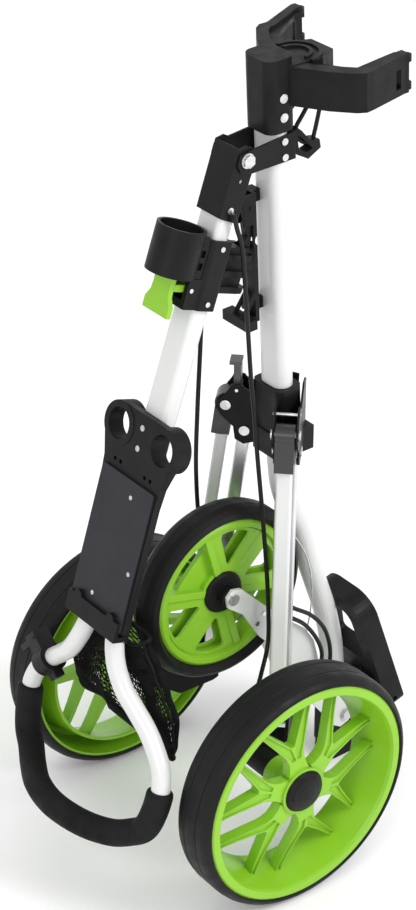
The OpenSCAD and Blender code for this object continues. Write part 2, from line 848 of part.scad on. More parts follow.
// ---------- net bag behind the loop ----------
bag_wall = 2.5;
bag_y = -129.5 - foot_y;
module bag_side(t) {
    // outline seen from the side, drawn in y and z
    polygon([[bag_y - t, 316 - t], [26 + bag_y - t, 318 - t], [36 + bag_y - t, 254],
        [38 + bag_y - t, 184 + t], [bag_y - t, 204 + t]]);
}
module bag_front(t) {
    // outline seen from the front, drawn in x and z
    polygon([[-36 + t, 330 - t], [36 - t, 330 - t], [58 - t, 282], [93 - t, 228], [93 - t, 176 + t],
        [-93 + t, 176 + t], [-93 + t, 228], [-58 + t, 282]]);
}
module bag_solid(t) {
    intersection() {
        side_plate(-110, 220) bag_side(t);
        translate([0, -60, 0]) rotate([90, 0, 0]) linear_extrude(height = 300) bag_front(t);
    }
}
module mesh_bag() {
    color(fabric_black)
    difference() {
        bag_solid(0);
        bag_solid(bag_wall);
        loop_room();
    }
}

// ---------- legs ----------
module leg(side) {
    in_leg_plane(side)
        translate([upper_u, 0, upper_z])
            rotate([0, -leg_lean, 0])
                difference() {
                    union() {
                        translate([0, 0, -leg_len]) rounded_bar(leg_bar[0], leg_bar[1], 3, leg_len);
                        translate([0, 0, -leg_len]) along_y(-leg_bar[1] / 2, leg_bar[1] / 2, 9);
                        // black top cap
                        along_y(-11, 11, 13);
                        block([-9, 12], [-11, 11], [-42, 0]);
                    }
                    along_y(-30, 30, leg_pin_r + run);
                    translate([0, 0, -leg_len]) along_y(-30, 30, leg_pin_r + run);
                }
}
module link(side) {
    in_leg_plane(side)
        translate([link_u, 0, link_z])
            rotate([0, -leg_lean, 0])
                difference() {
                    union() {
                        translate([0, 0, -leg_len]) rounded_bar(link_bar[0], link_bar[1], 2, leg_len);
                        along_y(-link_bar[1] / 2, link_bar[1] / 2, 9.5);
                        translate([0, 0, -leg_len]) along_y(-link_bar[1] / 2, link_bar[1] / 2, 9.5);
                    }
                    along_y(-30, 30, leg_pin_r + run);
                    translate([0, 0, -leg_len]) along_y(-30, 30, leg_pin_r + 0.4);
                }
}

// ---------- wheel carriers ----------
shoe_u = upper_u + drop_u;
shoe_z = upper_z - drop_z;
toe_u = link_u + drop_u;
toe_z = link_z - drop_z;
cheek = 4;
axle_in = 96;
hub_in = rear_half_track - 31;
module carrier(side) {
    difference() {
        union() {
            in_leg_plane(side) {
                for (s = [-1, 1]) {
                    translate([0, s > 0 ? wing_in + cheek : -wing_in, 0])
                        rotate([90, 0, 0]) linear_extrude(height = cheek)
                            polygon([[82, 148], [88, 142], [128, 118], [158, 126], [158, 164],
                                [134, 200], [116, 202], [106, 196], [84, 166]]);
                }
                block([132, 168], [-wing_in - cheek, wing_in + cheek], [124, 166]);
            }
            mirror([side < 0 ? 1 : 0, 0, 0])
                translate([0, rear_y, rear_r]) along_x(axle_in, hub_in - 0.5, 16);
        }
        in_leg_plane(side) {
            translate([shoe_u, 0, shoe_z]) along_y(-30, 30, leg_pin_r + run);
            translate([toe_u, 0, toe_z]) along_y(-30, 30, leg_pin_r + run);
        }
        mirror([side < 0 ? 1 : 0, 0, 0])
            translate([0, rear_y, rear_r]) along_x(axle_in + 8, 200, 6 + run);
    }
}
module carrier_pins(side) {
    in_leg_plane(side) {
        translate([shoe_u, 0, shoe_z]) pin_with_heads(-wing_in - cheek, wing_in + cheek, leg_pin_r);
        translate([toe_u, 0, toe_z]) pin_with_heads(-wing_in - cheek, wing_in + cheek, leg_pin_r);
    }
    mirror([side < 0 ? 1 : 0, 0, 0])
        translate([0, rear_y, rear_r]) {
            along_x(axle_in + 8, rear_half_track + 15, 6);
            along_x(rear_half_track + 12, rear_half_track + 15, 8.4);
        }
}
module leg_right() {
    color(white_paint) leg(1);
}
module leg_left() {
    color(white_paint) leg(-1);
}
module link_right() {
    color(bright_steel) link(1);
}
module link_left() {
    color(bright_steel) link(-1);
}
module carrier_right() {
    color(black_plastic) carrier(1);
}
module carrier_left() {
    color(black_plastic) carrier(-1);
}
module carrier_pins_right() {
    color(bright_steel) carrier_pins(1);
}
module carrier_pins_left() {
    color(bright_steel) carrier_pins(-1);
}

// ---------- rear wheels: drawn about local z, outboard side up ----------
bead_r = rear_r - 11;
half_w = rear_w / 2;
module at_rear(side) {
    translate([side * rear_half_track, rear_y, rear_r]) rotate([0, side * 90, 0]) children();
}
module rear_tyre() {
    rotate_extrude()
        polygon([[bead_r + 0.1, 2 - half_w], [bead_r + 2, 0.4 - half_w], [rear_r - 6, 2 - half_w],
            [rear_r - 2.6, 5.5 - half_w], [rear_r - 0.7, 10 - half_w], [rear_r, 15 - half_w],
            [rear_r, -11.2], [rear_r - 1, -10.6], [rear_r - 1, -9.6], [rear_r, -9],
            [rear_r, 9], [rear_r - 1, 9.6], [rear_r - 1, 10.6], [rear_r, 11.2],
            [rear_r, half_w - 15], [rear_r - 0.7, half_w - 10], [rear_r - 2.6, half_w - 5.5],
            [rear_r - 6, half_w - 2], [bead_r + 2, half_w - 0.4], [bead_r + 0.1, half_w - 2]]);
}
// rim ring: a straight outer wall and a cone that narrows inboard
cone_out = bead_r - 12.5;
cone_in = bead_r - 26;
function cone_r(z) = cone_in + (cone_out - cone_in) * (z + half_w - 4) / (2 * half_w - 9);
module rear_rim() {
    rotate_extrude()
        polygon([[bead_r, 3 - half_w], [bead_r, half_w - 3], [bead_r - 2.5, half_w - 1],
            [bead_r - 10.5, half_w - 1], [cone_out, half_w - 5], [cone_in, 4 - half_w],
            [cone_in, 1 - half_w], [cone_in + 3.5, 1 - half_w], [bead_r - 9.2, half_w - 7.5],
            [bead_r - 3, half_w - 7.5], [bead_r - 3, 3 - half_w]]);
}
// rear spider: hub and forked spokes, dished toward the outboard side
hub_r = 29.4;
cap_r = 26;
spoke_edge = [[27.5, 14.6], [29, 13.8], [36, 11.6], [45, 11], [53, 12.2], [58.6, 14.8],
    [73.2, 23.2], [87.7, 31.4], [102.1, 39.9], [112, 46]];
spoke_crotch = [[119, 42.5], [105.9, 34.2], [92.3, 24.4], [78.8, 14.4], [63, 2]];
valley_edge = [[46, 6.5], [53, 9.2], [57.6, 12.6], [72.2, 21], [86.7, 29.3], [101.1, 37.8], [115, 46]];
valley_crotch = [[122, 42], [104.8, 35.4], [91.2, 25.8], [77.6, 16], [61.4, 3], [46, 1]];
dish = [[26.5, 16.2], [45, 15.5], [60, 12.5], [76, 8.5], [90, 5], [104, 2.4], [128, 0.2]];
dish_deep = 13.5;
valley_deep = 2.6;
function backwards(pts) = [for (i = [len(pts) - 1 : -1 : 0]) pts[i]];
function across(pts) = [for (p = backwards(pts)) [p[0], -p[1]]];
function lowered(pts, d) = [for (p = pts) [p[0], p[1] - d]];
// a shape drawn along the spoke and the axle, wide enough for the whole spoke
module spoke_side() {
    rotate([90, 0, 0]) linear_extrude(height = 120, center = true) children();
}
module rear_spoke() {
    difference() {
        intersection() {
            linear_extrude(height = 80, center = true)
                polygon(concat(spoke_edge, spoke_crotch, across(spoke_crotch), across(spoke_edge)));
            spoke_side() polygon(concat(dish, backwards(lowered(dish, dish_deep))));
        }
        // shallow valley along each branch
        for (s = [-1, 1]) {
            intersection() {
                linear_extrude(height = 80, center = true)
                    mirror([0, s < 0 ? 1 : 0]) polygon(concat(valley_edge, valley_crotch));
                spoke_side() polygon(concat(lowered(dish, valley_deep), [[130, 40], [26, 40]]));
            }
        }
    }
}
module rear_spider() {
    difference() {
        union() {
            intersection() {
                for (k = [0 : rear_spokes - 1]) {
                    rotate([0, 0, 10 + k * spoke_step]) rear_spoke();
                }
                translate([0, 0, -20])
                    cylinder(r1 = cone_r(-20) - 0.1, r2 = cone_r(25) - 0.1, h = 45);
            }
            translate([0, 0, 2.6]) cylinder(r = hub_r, h = 16.4);
            translate([0, 0, -30]) cylinder(r = 20, h = 36);
        }
        translate([0, 0, 15.9]) cylinder(r = cap_r + 0.2, h = 10);
        translate([0, 0, -40]) cylinder(r = 6 + run, h = 80);
        translate([0, 0, 11.5]) cylinder(r = 9, h = 20);
    }
}
module rear_cap() {
    difference() {
        rotate_extrude()
            polygon([[0, 16.1], [cap_r, 16.1], [cap_r, 19.5], [24, 22.5], [18, 25], [10, 26.4], [0, 27]]);
        // three small marks round the rim of the cap
        for (k = [0 : 2]) {
            rotate([0, 0, 30 + 120 * k]) translate([19.5, -2, 23.4]) cube([4, 4, 6]);
        }
    }
}
module tyre_right() {
    color(black_rubber) at_rear(1) rear_tyre();
}
module tyre_left() {
    color(black_rubber) at_rear(-1) rear_tyre();
}
module rim_right() {
    color(lime) at_rear(1) rear_rim();
}
module rim_left() {
    color(lime) at_rear(-1) rear_rim();
}
module spider_right() {
    color(lime) at_rear(1) rear_spider();
}
module spider_left() {
    color(lime) at_rear(-1) rear_spider();
}
module cap_right() {
    color(black_plastic) at_rear(1) rear_cap();
}
module cap_left() {
    color(black_plastic) at_rear(-1) rear_cap();
}

// ---------- fork and front wheel ----------
module fork_plates() {
    color(white_paint)
    difference() {
        union() {
            for (s = [-1, 1]) {
                side_plate(s > 0 ? fork_in : -fork_in - fork_t, fork_t)
                    polygon(shift2([[14, 306], [12, 320], [20, 328], [33, 325], [66, 290], [113, 244],
                        [129.5, 230], [143, 208.5], [150, 183], [160, 150], [182, 118], [204, 92],
                        [209, 75], [203, 62], [190, 58], [178, 66], [160, 92], [136, 124], [122, 160],
                        [108, 190], [90, 214], [60, 248], [36, 288]]));
            }
            translate([0, 140 - foot_y, 160]) along_x(-fork_in - 0.1, fork_in + 0.1, 6);
        }
        translate([0, front_y, front_z]) along_x(-40, 40, axle_r + run);
        translate([0, fork_y, fork_z]) along_x(-40, 40, 4 + 2 * run);
    }
}
module fork_screws() {
    color(bright_steel)
    for (p = [[66, 278], [56, 268]]) {
        for (s = [-1, 1]) {
            translate([0, p[0] - foot_y, p[1]])
                along_x(s > 0 ? fork_in + fork_t : -fork_in - fork_t - 1.8,
                    s > 0 ? fork_in + fork_t + 1.8 : -fork_in - fork_t, 3.2);
        }
    }
}
function shift2(pts) = [for (p = pts) [p[0] - foot_y, p[1]]];
module front_axle() {
    color(bright_steel)
    translate([0, front_y, front_z]) {
        along_x(-fork_in - fork_t, fork_in + fork_t, axle_r);
        along_x(fork_in + fork_t, fork_in + fork_t + 3, 7);
        along_x(-fork_in - fork_t - 3, -fork_in - fork_t, 7);
    }
}
front_bead = front_r - 18;
module at_front() {
    translate([0, front_y, front_z]) rotate([0, 90, 0]) children();
}
module tyre_front() {
    w = front_w / 2;
    color(black_rubber)
    at_front()
        rotate_extrude()
            polygon([[front_bead + 0.1, -14], [front_bead + 2, -17], [front_bead + 7, -w],
                [front_r - 6, -w + 3], [front_r - 2, -w + 9], [front_r, -w + 16], [front_r, w - 16],
                [front_r - 2, w - 9], [front_r - 6, w - 3], [front_bead + 7, w],
                [front_bead + 2, 17], [front_bead + 0.1, 14]]);
}
module rim_front() {
    color(lime)
    at_front()
        rotate_extrude()
            polygon([[front_bead, -14], [front_bead, 14], [front_bead - 3, 16],
                [front_bead - 9, 15], [front_bead - 11, 9], [front_bead - 11, -9],
                [front_bead - 9, -15], [front_bead - 3, -16]]);
}
// front spider: two wide webs with windows, ridge spokes between them
web_r = front_bead - 11.1;
ridge_turns = [15, 75, 195, 255];
rib_turns = [135, 315];
valley_turns = [45, 225];
function spoke_dir(a, r) = [r * cos(a), r * sin(a)];
module spider_front() {
    color(lime)
    at_front()
        difference() {
            union() {
                cylinder(r = 30, h = 20, center = true);
                for (s = [-1, 1]) {
                    translate([0, 0, s > 0 ? 6 : -10])
                        intersection() {
                            cylinder(r = web_r, h = 4);
                            linear_extrude(height = 4)
                                for (a = [75, 255]) {
                                    polygon([[0, 0], spoke_dir(a, 110), spoke_dir(a + 40, 110),
                                        spoke_dir(a + 80, 110), spoke_dir(a + 120, 110)]);
                                }
                        }
                }
                for (a = ridge_turns) {
                    rotate([0, 0, a]) block([27, web_r - 0.2], [-4.5, 4.5], [-12, 12]);
                }
                for (a = rib_turns) {
                    rotate([0, 0, a]) block([27, web_r - 0.2], [-3, 3], [-10.5, 10.5]);
                }
                // low floor of the valleys, open near the rim
                for (a = valley_turns) {
                    linear_extrude(height = 6, center = true)
                        polygon([[0, 0], spoke_dir(a - 30, 66), spoke_dir(a, 58), spoke_dir(a + 30, 66)]);
                }
            }
            for (a = [105, 165, 285, 345]) {
                rotate([0, 0, a]) translate([0, 0, -20]) linear_extrude(height = 40)
                    polygon([[35, -1.5], [37, -3.5], [70, -21], [74, -20.4], [77, -12], [78.4, 0],
                        [77, 12], [74, 20.4], [70, 21], [37, 3.5], [35, 1.5]]);
            }
            translate([0, 0, -40]) cylinder(r = 12, h = 80);
        }
}
module front_hub() {
    color(black_plastic)
    at_front()
        difference() {
            union() {
                cylinder(r = 11.9, h = 2 * fork_in - 0.4, center = true);
                for (s = [-1, 1]) {
                    mirror([0, 0, s < 0 ? 1 : 0])
                        translate([0, 0, 10.1]) rotate_extrude()
                            polygon([[0, 0], [26, 0], [26, 2], [23, 4], [10, 5], [10, 10], [0, 10]]);
                }
            }
            cylinder(r = axle_r + run, h = 80, center = true);
        }
}

// ---------- cables and strap ----------
cable_r = 2.6;
cable_routes = [
    [[25, 23, 797], [26.5, 26, 780], [27.5, 33, 752], [28, 38, 692], [31, 43, 600], [33, 46, 560],
        [35, 50, 500], [37, 56, 430], [39, 62, 350], [40, 65, 290], [44, 62, 246],
        [60, 40, 222], [82, 14, 216]],
    [[-25, 22, 797], [-26.5, 24, 770], [-27, 22, 700], [-28, 19, 620], [-31, 17, 540],
        [-34, 17, 460], [-38, 25, 380], [-42, 42, 300], [-46, 50, 250], [-62, 34, 224],
        [-82, 14, 216]],
    [[37, 84, 292], [38, 104, 274], [38, 132, 252], [38, 153, 224], [39, 162, 192],
        [42, 158, 166], [50, 142, 150], [62, 122, 150]],
    [[37, 82, 276], [37, 100, 262], [37, 123, 242], [37, 142, 214], [38, 150, 190],
        [40, 146, 168], [48, 132, 158], [60, 116, 160]]];
wire_r = 0.9;
wire_route = [[24.3, 116, 361], [24.3, 134, 327], [24.3, 143, 287], [24.3, 142, 245], [24.3, 133.5, 209]];
module brake_cables() {
    color(black_rubber)
    for (route = cable_routes) {
        cord(smoothed(shifted(route), 4), cable_r);
    }
    color(bright_steel) cord(smoothed(shifted(wire_route), 4), wire_r);
}
module strap_cord() {
    color(black_rubber)
    cord(smoothed(shifted([[10, 138, 911.5], [12, 137, 897], [12, 126, 880], [12, 116, 867],
        [12, 114, 860], [12, 124, 848], [12, 137, 844], [12, 142, 856], [12, 148, 880],
        [12, 153, 897], [12, 155, 912]]), 3), 2.4);
}
module strap_hook() {
    color(black_plastic)
    translate([12, 0, 0])
        side_plate(-7, 14) difference() {
            polygon(shift2([[108, 866], [112, 869], [118, 864], [130, 850], [143, 848], [145, 838],
                [128, 829], [112, 838], [107.6, 856]]));
            polygon(shift2([[112, 860], [118, 856], [128, 846], [134, 840], [126, 837], [115, 843]]));
        }
}

main_tube();
upper_cradle();
cradle_bolts();
hinge_bracket();
hinge_rivets();
hinge_bolt();
catch_bracket();
catch_hook();
mid_bracket();
mid_bolts();
leg_latch();
lower_tube();
end_block();
fork_bolt();
rest_bracket();
rest_pin();
bag_rest();
arm_tube();
arm_channel();
channel_rivets();
umbrella_holder();
holder_clamp();
holder_screws();
thumb_lever();
console();
console_panel();
card_clip();
console_screws();
bar_plug();
handle_bar();
foam_grip();
brake_mount();
brake_lever();
mesh_bag();
leg_right();
link_right();
carrier_right();
carrier_pins_right();
tyre_right();
rim_right();
spider_right();
cap_right();
leg_left();
link_left();
carrier_left();
carrier_pins_left();
tyre_left();
rim_left();
spider_left();
cap_left();
fork_plates();
fork_screws();
front_axle();
tyre_front();
rim_front();
spider_front();
front_hub();
brake_cables();
strap_cord();
strap_hook();
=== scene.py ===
import json
import math

import bpy
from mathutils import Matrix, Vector


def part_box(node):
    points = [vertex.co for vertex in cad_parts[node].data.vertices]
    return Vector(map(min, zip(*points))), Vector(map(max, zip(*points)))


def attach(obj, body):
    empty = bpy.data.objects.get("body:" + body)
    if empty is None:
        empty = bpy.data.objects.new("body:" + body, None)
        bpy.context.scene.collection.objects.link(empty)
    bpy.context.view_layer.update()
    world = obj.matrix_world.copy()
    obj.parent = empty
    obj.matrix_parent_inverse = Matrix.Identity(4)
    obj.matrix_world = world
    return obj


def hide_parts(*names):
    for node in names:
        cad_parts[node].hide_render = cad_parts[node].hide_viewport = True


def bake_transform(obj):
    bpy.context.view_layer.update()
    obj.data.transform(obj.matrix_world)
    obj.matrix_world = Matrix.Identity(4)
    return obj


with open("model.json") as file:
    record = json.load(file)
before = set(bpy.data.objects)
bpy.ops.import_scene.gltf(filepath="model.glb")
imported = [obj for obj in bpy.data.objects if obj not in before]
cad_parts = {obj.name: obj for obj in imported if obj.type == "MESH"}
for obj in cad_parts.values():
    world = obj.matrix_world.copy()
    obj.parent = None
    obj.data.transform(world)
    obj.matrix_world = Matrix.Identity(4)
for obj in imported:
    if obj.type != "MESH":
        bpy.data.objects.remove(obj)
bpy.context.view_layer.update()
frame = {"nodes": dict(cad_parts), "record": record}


# ---------- camera ----------
CAMERA_AT = (1.8575, -1.6167, 1.8794)
CAMERA_AZIMUTH = math.radians(52.466)
CAMERA_ELEVATION = math.radians(30.584)
CAMERA_LENS = 96.80
SENSOR = 36.0
SHIFT = (-0.00184, 0.00181)


def make_camera():
    flat = math.cos(CAMERA_ELEVATION)
    back = Vector((math.sin(CAMERA_AZIMUTH) * flat, -math.cos(CAMERA_AZIMUTH) * flat,
                   math.sin(CAMERA_ELEVATION)))
    data = bpy.data.cameras.new("camera")
    data.lens = CAMERA_LENS
    data.sensor_width = SENSOR
    data.shift_x, data.shift_y = SHIFT
    cam = bpy.data.objects.new("camera", data)
    bpy.context.scene.collection.objects.link(cam)
    cam.location = CAMERA_AT
    cam.rotation_mode = "QUATERNION"
    cam.rotation_quaternion = (-back).to_track_quat("-Z", "Y")
    bpy.context.scene.camera = cam


# ---------- materials ----------
def noise(nodes, links, coord, scale, detail=2.0, stretch=None):
    """A noise texture's output in object space, stretched along an axis if asked."""
    if stretch:
        mapping = nodes.new("ShaderNodeMapping")
        mapping.inputs["Scale"].default_value = stretch
        links.new(coord, mapping.inputs["Vector"])
        coord = mapping.outputs["Vector"]
    tex = nodes.new("ShaderNodeTexNoise")
    tex.inputs["Scale"].default_value = scale
    tex.inputs["Detail"].default_value = detail
    links.new(coord, tex.inputs["Vector"])
    return tex.outputs["Fac"]


def spread(nodes, links, value, low, high):
    """Maps the middle of a noise onto low to high."""
    node = nodes.new("ShaderNodeMapRange")
    node.inputs["From Min"].default_value = 0.35
    node.inputs["From Max"].default_value = 0.65
    node.inputs["To Min"].default_value = low
    node.inputs["To Max"].default_value = high
    links.new(value, node.inputs["Value"])
    return node.outputs["Result"]


def surface(name, base, tint, rough, *, metal=0.0, coat=0.0, patch=18.0, grain=900.0,
            grain_height=0.00003, rough_scale=60.0, edge=0.0008, wear=None, wear_share=0.5,
            stretch=None, sheen=0.0, specular=0.5):
    """A procedural finish: patchy colour, uneven roughness, a fine grain, softened and worn edges."""
    mat = bpy.data.materials.new(name)
    mat.use_nodes = True
    nodes, links = mat.node_tree.nodes, mat.node_tree.links
    shader = nodes["Principled BSDF"]
    shader.inputs["Metallic"].default_value = metal
    shader.inputs["Coat Weight"].default_value = coat
    shader.inputs["Coat Roughness"].default_value = 0.12
    shader.inputs["Sheen Weight"].default_value = sheen
    shader.inputs["Specular IOR Level"].default_value = specular
    coord = nodes.new("ShaderNodeTexCoord").outputs["Object"]
    mix = nodes.new("ShaderNodeMix")
    mix.data_type = "RGBA"
    mix.inputs["A"].default_value = (*base, 1)
    mix.inputs["B"].default_value = (*tint, 1)
    links.new(spread(nodes, links, noise(nodes, links, coord, patch, 4.0), 0, 1), mix.inputs["Factor"])
    colour = mix.outputs["Result"]
    bevel = nodes.new("ShaderNodeBevel")
    bevel.samples = 4
    bevel.inputs["Radius"].default_value = edge
    if wear:
        geometry = nodes.new("ShaderNodeNewGeometry")
        dot = nodes.new("ShaderNodeVectorMath")
        dot.operation = "DOT_PRODUCT"
        links.new(bevel.outputs["Normal"], dot.inputs[0])
        links.new(geometry.outputs["Normal"], dot.inputs[1])
        mask = nodes.new("ShaderNodeMapRange")
        mask.inputs["From Min"].default_value = 0.995
        mask.inputs["From Max"].default_value = 0.90
        mask.inputs["To Min"].default_value = 0.0
        mask.inputs["To Max"].default_value = wear_share
        links.new(dot.outputs["Value"], mask.inputs["Value"])
        worn = nodes.new("ShaderNodeMix")
        worn.data_type = "RGBA"
        worn.inputs["B"].default_value = (*wear, 1)
        links.new(colour, worn.inputs["A"])
        links.new(mask.outputs["Result"], worn.inputs["Factor"])
        colour = worn.outputs["Result"]
    links.new(colour, shader.inputs["Base Color"])
    links.new(spread(nodes, links, noise(nodes, links, coord, rough_scale, 3.0, stretch), *rough),
              shader.inputs["Roughness"])
    bump = nodes.new("ShaderNodeBump")
    bump.inputs["Strength"].default_value = 1.0
    bump.inputs["Distance"].default_value = grain_height
    links.new(noise(nodes, links, coord, grain, 2.0, stretch), bump.inputs["Height"])
    links.new(bevel.outputs["Normal"], bump.inputs["Normal"])
    links.new(bump.outputs["Normal"], shader.inputs["Normal"])
    return mat


def banded(mat, height, colour):
    """Above a height in metres the finish takes another colour, as a plastic cap does."""
    nodes, links = mat.node_tree.nodes, mat.node_tree.links
    shader = nodes["Principled BSDF"]
    split = nodes.new("ShaderNodeSeparateXYZ")
    links.new(nodes.new("ShaderNodeTexCoord").outputs["Object"], split.inputs[0])
    above = nodes.new("ShaderNodeMath")
    above.operation = "GREATER_THAN"
    above.inputs[1].default_value = height
    links.new(split.outputs["Z"], above.inputs[0])
    mix = nodes.new("ShaderNodeMix")
    mix.data_type = "RGBA"
    mix.inputs["B"].default_value = (*colour, 1)
    links.new(above.outputs[0], mix.inputs["Factor"])
    links.new(shader.inputs["Base Color"].links[0].from_socket, mix.inputs["A"])
    links.new(mix.outputs["Result"], shader.inputs["Base Color"])
    return mat


WHITE = dict(coat=0.35, grain=700, grain_height=0.00002, patch=9, wear=(0.60, 0.60, 0.60), wear_share=0.3)
PAINT = ((0.655, 0.66, 0.65), (0.62, 0.625, 0.62), (0.28, 0.42))
CAP_FROM = 0.4825
FINISH = {
    "white_paint": surface("white_paint", *PAINT, **WHITE),
    "leg_paint": banded(surface("leg_paint", *PAINT, **WHITE), CAP_FROM, (0.009, 0.009, 0.010)),
    "black_plastic": surface("black_plastic", (0.0065, 0.0065, 0.007), (0.010, 0.010, 0.0105), (0.36, 0.50),
                             grain=2600, grain_height=0.00005, wear=(0.035, 0.035, 0.036), wear_share=0.4,
                             specular=0.13),
    "black_steel": surface("black_steel", (0.006, 0.006, 0.0065), (0.009, 0.009, 0.0095), (0.30, 0.44),
                           coat=0.0, grain=1800, grain_height=0.00004, wear=(0.05, 0.05, 0.05),
                           wear_share=0.4, edge=0.0006, specular=0.14),
    "bright_steel": surface("bright_steel", (0.66, 0.66, 0.67), (0.52, 0.52, 0.54), (0.18, 0.36), metal=1.0,
                            grain=1500, grain_height=0.00002, patch=120, edge=0.0005),
    "lime_plastic": surface("lime_plastic", (0.235, 0.50, 0.020), (0.215, 0.465, 0.016), (0.28, 0.40),
                            grain=1600, grain_height=0.000025, patch=10, edge=0.0012,
                            wear=(0.34, 0.60, 0.11), wear_share=0.45, specular=0.4),
    "tyre_rubber": surface("tyre_rubber", (0.0065, 0.0065, 0.007), (0.010, 0.010, 0.0105), (0.42, 0.58),
                           grain=1100, grain_height=0.00006, patch=14, edge=0.0015,
                           wear=(0.016, 0.016, 0.016), wear_share=0.3, specular=0.15),
    "grey_plastic": surface("grey_plastic", (0.07, 0.07, 0.075), (0.095, 0.095, 0.10), (0.34, 0.46),
                            grain=2200, grain_height=0.00003),
    "slate_panel": surface("slate_panel", (0.016, 0.0165, 0.021), (0.020, 0.0205, 0.025), (0.36, 0.48),
                           grain=3200, grain_height=0.00003, patch=22, wear=(0.07, 0.07, 0.08),
                           specular=0.22),
    "bare_aluminium": surface("bare_aluminium", (0.74, 0.74, 0.75), (0.62, 0.62, 0.64), (0.26, 0.40),
                              metal=0.85, grain=1200, grain_height=0.00003, stretch=(1, 1, 0.06)),
    "grip_foam": surface("grip_foam", (0.0065, 0.0065, 0.007), (0.0105, 0.0105, 0.011), (0.58, 0.78),
                         grain=1500, grain_height=0.00022, patch=25, specular=0.13),
    "net_fabric": surface("net_fabric", (0.006, 0.006, 0.0065), (0.009, 0.009, 0.0095), (0.6, 0.8),
                          grain=2600, grain_height=0.0001, specular=0.12),
    "cable_sleeve": surface("cable_sleeve", (0.006, 0.006, 0.0065), (0.009, 0.009, 0.0095), (0.28, 0.42),
                            grain=1200, grain_height=0.00003, specular=0.2),
}


def dress_nodes():
    for part in frame["record"]["subparts"]:
        obj = bpy.data.objects.get(part["node"]) or frame["nodes"][part["node"]]
        mat = FINISH["leg_paint" if part["node"] in ("leg_right", "leg_left") else part["material_slot"]]
        obj.data.materials.clear()
        obj.data.materials.append(mat)


# ---------- sweeps along smooth lines ----------
BACK = 0.2


def row_points(points):
    """Points in millimetres from under the rear axle, as row-frame metres."""
    return [Vector((x / 1000, y / 1000 - BACK, z / 1000)) for x, y, z in points]


def smooth_line(points, steps):
    """A Catmull-Rom line through the points."""
    line = []
    last = len(points) - 1
    for i in range(last):
        a, b = points[max(i - 1, 0)], points[i]
        c, d = points[i + 1], points[min(i + 2, last)]
        for k in range(steps):
            t = k / steps
            line.append(0.5 * (2 * b + (c - a) * t + (2 * a - 5 * b + 4 * c - d) * t * t
                               + (3 * b - a - 3 * c + d) * t ** 3))
    return line + [points[last]]


def part_of(line, start, end):
    """The stretch of a line between two shares of its points."""
    return line[int(start * (len(line) - 1)):int(end * (len(line) - 1)) + 1]


def line_length(line):
    return sum((b - a).length for a, b in zip(line, line[1:]))


def sweep(name, line, radius, slot, body, sides=32, profile=None):
    """A round tube along a line. profile gives the radius's share at a share of the length. No body: it isn't ridden."""
    mesh = bpy.data.meshes.new(name)
    verts, faces = [], []
    side = None
    for i, p in enumerate(line):
        t = (line[min(i + 1, len(line) - 1)] - line[max(i - 1, 0)]).normalized()
        side = t.orthogonal().normalized() if side is None else (side - t * side.dot(t)).normalized()
        other = t.cross(side)
        r = radius * (profile(i / (len(line) - 1)) if profile else 1)
        for k in range(sides):
            turn = 2 * math.pi * k / sides
            verts.append(p + r * (math.cos(turn) * side + math.sin(turn) * other))
    for i in range(len(line) - 1):
        for k in range(sides):
            n = (k + 1) % sides
            faces.append((i * sides + k, i * sides + n, (i + 1) * sides + n, (i + 1) * sides + k))
    faces.append(tuple(reversed(range(sides))))
    faces.append(tuple((len(line) - 1) * sides + k for k in range(sides)))
    mesh.from_pydata(verts, [], faces)
    mesh.validate()
    for poly in mesh.polygons[:-2]:
        poly.use_smooth = True
    mesh.materials.append(FINISH[slot])
    obj = bpy.data.objects.new(name, mesh)
    bpy.context.scene.collection.objects.link(obj)
    if body:
        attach(obj, body)
    return obj


# ---------- handle loop ----------
LOOP_HALF = [(22.5, -133.5, 349), (24, -139, 333), (28, -144, 318), (37, -148, 298), (52, -149, 276),
             (71, -147, 258), (92, -146, 240), (110, -148, 222), (122, -151, 206), (127.5, -156, 186),
             (125, -163, 158), (117, -170, 134), (101, -177, 121), (78, -190, 112), (44, -206, 112),
             (0, -214, 114)]
BAR_RADIUS = 0.011
GRIP_RADIUS = 0.0155
GRIP_SHARE = (0.30, 0.70)


def rounded_end(share, length, radius):
    """The radius's share near a tube's ends, which are rolled over."""
    near = min(share, 1 - share) * length / radius
    return 1.0 if near >= 0.5 else 0.80 + 0.20 * math.sqrt(max(0.0, 1 - (1 - near / 0.5) ** 2))


def make_loop():
    whole = LOOP_HALF + [(-x, y, z) for x, y, z in reversed(LOOP_HALF[:-1])]
    line = smooth_line(row_points(whole), 8)
    bar = sweep("loop_bar", line, BAR_RADIUS, "white_paint", "handle_arm", 40)
    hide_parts("handle_bar")
    foam = part_of(line, *GRIP_SHARE)
    length = line_length(foam)
    grip = sweep("grip_sleeve", foam, GRIP_RADIUS, "grip_foam", "handle_arm", 40,
                 lambda share: rounded_end(share, length, GRIP_RADIUS))
    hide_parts("foam_grip")


# ---------- cables and strap ----------
SLEEVE_RADIUS = 0.0026
SLEEVES = {
    "sleeve_right": [(25, 23, 797), (26.5, 26, 780), (27.5, 33, 752), (28, 38, 692), (31, 43, 600),
                     (33, 46, 560), (35, 50, 500), (37, 56, 430), (39, 62, 350), (40, 65, 290),
                     (44, 62, 246), (60, 40, 222), (82, 14, 216)],
    "sleeve_left": [(-25, 22, 797), (-26.5, 24, 770), (-27, 22, 700), (-28, 19, 620), (-31, 17, 540),
                    (-34, 17, 460), (-38, 25, 380), (-42, 42, 300), (-46, 50, 250), (-62, 34, 224),
                    (-82, 14, 216)],
    "coil_outer": [(37, 84, 292), (38, 104, 274), (38, 132, 252), (38, 153, 224), (39, 162, 192),
                   (42, 158, 166), (50, 142, 150), (62, 122, 150)],
    "coil_inner": [(37, 82, 276), (37, 100, 262), (37, 123, 242), (37, 142, 214), (38, 150, 190),
                   (40, 146, 168), (48, 132, 158), (60, 116, 160)],
}
